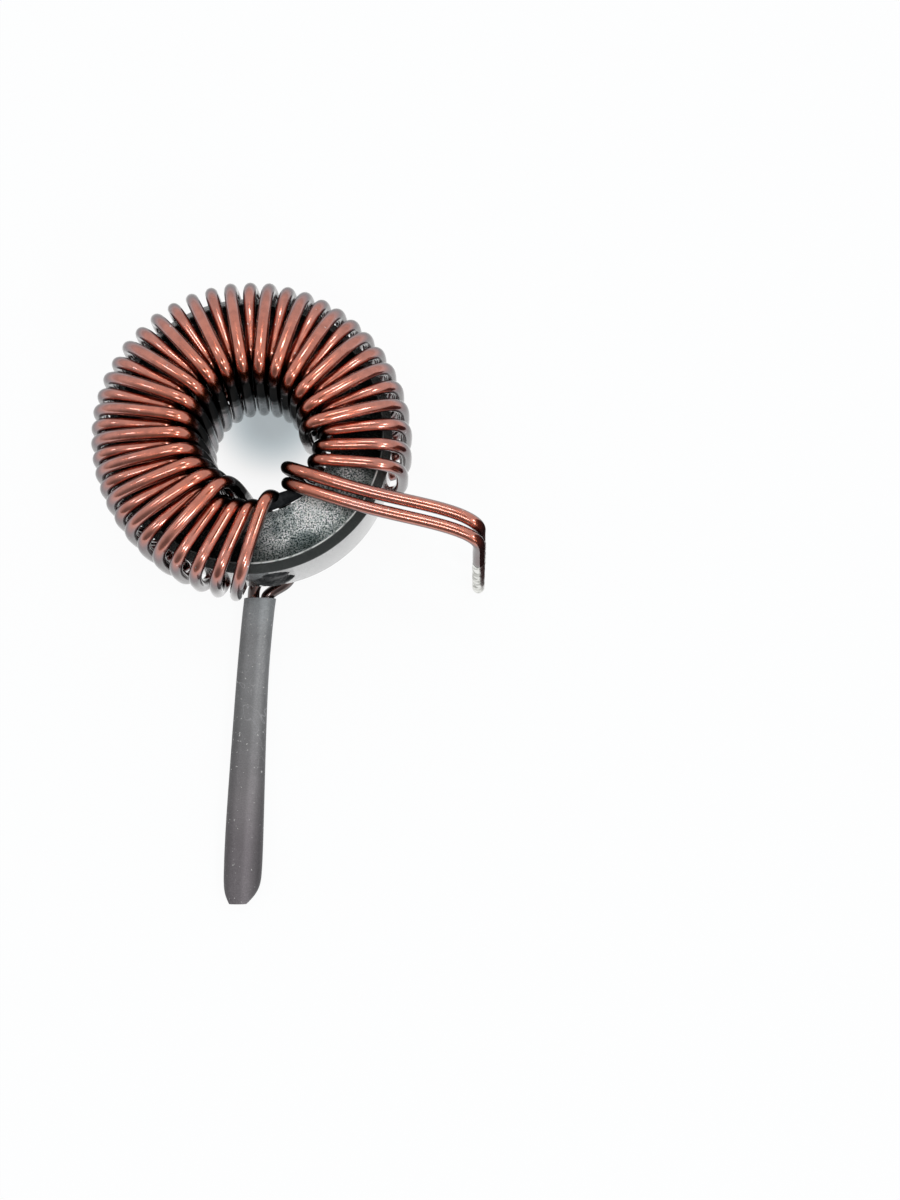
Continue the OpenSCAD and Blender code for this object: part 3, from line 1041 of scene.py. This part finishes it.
def studio_floor():
    """Pale floor: white to the camera and in reflections; its matte part takes the object's shadow,
    and a painted shadow dims and cools its glow round a spot in the bore.
    """
    floor = level_square("floor", (-FLOOR_HALF, FLOOR_HALF), (-FLOOR_HALF, FLOOR_HALF), 0)
    m = Nodes(bpy.data.materials.new("floor"))
    rays = m.add("ShaderNodeLightPath").outputs
    seen = m.number("MAXIMUM", rays["Is Camera Ray"], rays["Is Glossy Ray"])
    shown = m.number("MAXIMUM", seen, rays["Is Transmission Ray"])
    # Painted shadow round a spot in the bore
    share = m.near(PAINTED_SHADOW_SPOT, PAINTED_SHADOW_R, *GLOW_SHARES, interpolation_type="SMOOTHSTEP")
    matte = m.add("ShaderNodeBsdfDiffuse", {"Color": FLOOR_GREY})
    glow = m.add("ShaderNodeEmission", {"Color": m.ramp(share, GLOW_STOPS)})
    sockets = {0: m.number("MULTIPLY", shown, share), 1: matte.outputs[0], 2: glow.outputs[0]}
    m.surface(m.add("ShaderNodeMixShader", sockets))
    floor.data.materials.append(m.owner)


def paint_unseen(piece, colour):
    """Makes a piece of the studio matt, and hides it from the camera but not from gloss."""
    m = Nodes(bpy.data.materials.new(piece.name))
    m.surface(m.add("ShaderNodeBsdfDiffuse", {"Color": colour}))
    piece.data.materials.append(m.owner)
    piece.visible_camera = False
    piece.visible_shadow = False


def camera_card():
    """Dark card over the camera, as the phone that takes the photo."""
    card = level_square("camera_card", CARD_X, CARD_Y, CARD_Z)
    paint_unseen(card, CARD_TONE)


def neighbour():
    """Dark drum where a second ring stands by the leads."""
    n = DRUM_SIDES
    foot = [polar(DRUM_R, 360 * i / n) + (*DRUM_AT, 0) for i in range(n)]
    rim = [p + (0, 0, DRUM_H) for p in foot]
    sides = [(i, (i + 1) % n, (i + 1) % n + n, i + n) for i in range(n)]
    drum = new_mesh("neighbour", foot + rim, sides + [tuple(range(n, 2 * n))])
    paint_unseen(drum, DRUM_TONE)
    drum.visible_diffuse = False


def lamp(name, side_deg, from_top_deg, size, power):
    """Soft lamp a metre away, turned to the ring: its angles are round the ring and from above."""
    data = bpy.data.lights.new(name, "AREA")
    data.shape = "RECTANGLE"
    data.size, data.size_y = size
    data.energy = power
    holder = bpy.data.objects.new(name, data)
    tilt = math.radians(from_top_deg)
    holder.location = polar(math.sin(tilt), side_deg, math.cos(tilt))
    holder.rotation_mode = "QUATERNION"
    holder.rotation_quaternion = (-holder.location).to_track_quat("-Z", "Y")
    bpy.context.scene.collection.objects.link(holder)


def world_light():
    """White room, dimmer toward one corner on the sleeve's side, where the room is open."""
    m = Nodes(bpy.data.worlds.new("room"), "ShaderNodeOutputWorld")
    toward = m.map_range(m.along(m.coords["Generated"], DARK_CORNER), -1, 1)
    stops = [((1 + math.cos(math.radians(deg))) / 2, grey(shade)) for deg, shade in ROOM_SHADES]
    room = {"Color": m.ramp(toward, stops), "Strength": ROOM_LIGHT}
    m.surface(m.add("ShaderNodeBackground", room))
    bpy.context.scene.world = m.owner


# ---------------------------------------------------------------- the scene

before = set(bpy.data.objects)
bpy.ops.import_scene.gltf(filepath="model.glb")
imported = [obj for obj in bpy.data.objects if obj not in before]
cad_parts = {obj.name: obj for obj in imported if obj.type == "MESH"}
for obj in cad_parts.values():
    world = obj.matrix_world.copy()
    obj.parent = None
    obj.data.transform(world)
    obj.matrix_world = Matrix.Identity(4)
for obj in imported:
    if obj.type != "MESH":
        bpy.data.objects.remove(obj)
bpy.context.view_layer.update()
bpy.context.scene.view_settings.view_transform = "Standard"

camera()
studio_floor()
camera_card()
neighbour()
world_light()
for name, settings in LAMPS.items():
    lamp(name, *settings)

copper = enamel_material()
solder = solder_material()
dress(wire_piece("wire_a", route_a(), TIP_A), copper, "enamelled_copper", "strand_a")
dress(wire_piece("wire_b", route_b(), TIP_B), copper, "enamelled_copper", "strand_b")
dress(core_piece(), core_material(), "core_coating", "core")
dark_fill = dark_fill_material()
dress(bead_piece(), dark_fill, "core_coating")
# The dark patch on the outer wall is painted shade
dress(shade_patch_piece(), dark_fill, "core_coating")
dress(sleeve_piece(), sleeve_material(), "sleeve", "lead_sleeve")
dress(solder_piece("solder_a", TIP_A, FALL_A), solder, "solder", "solder_tip_a")
dress(solder_piece("solder_b", TIP_B, FALL_B), solder, "solder", "solder_tip_b")
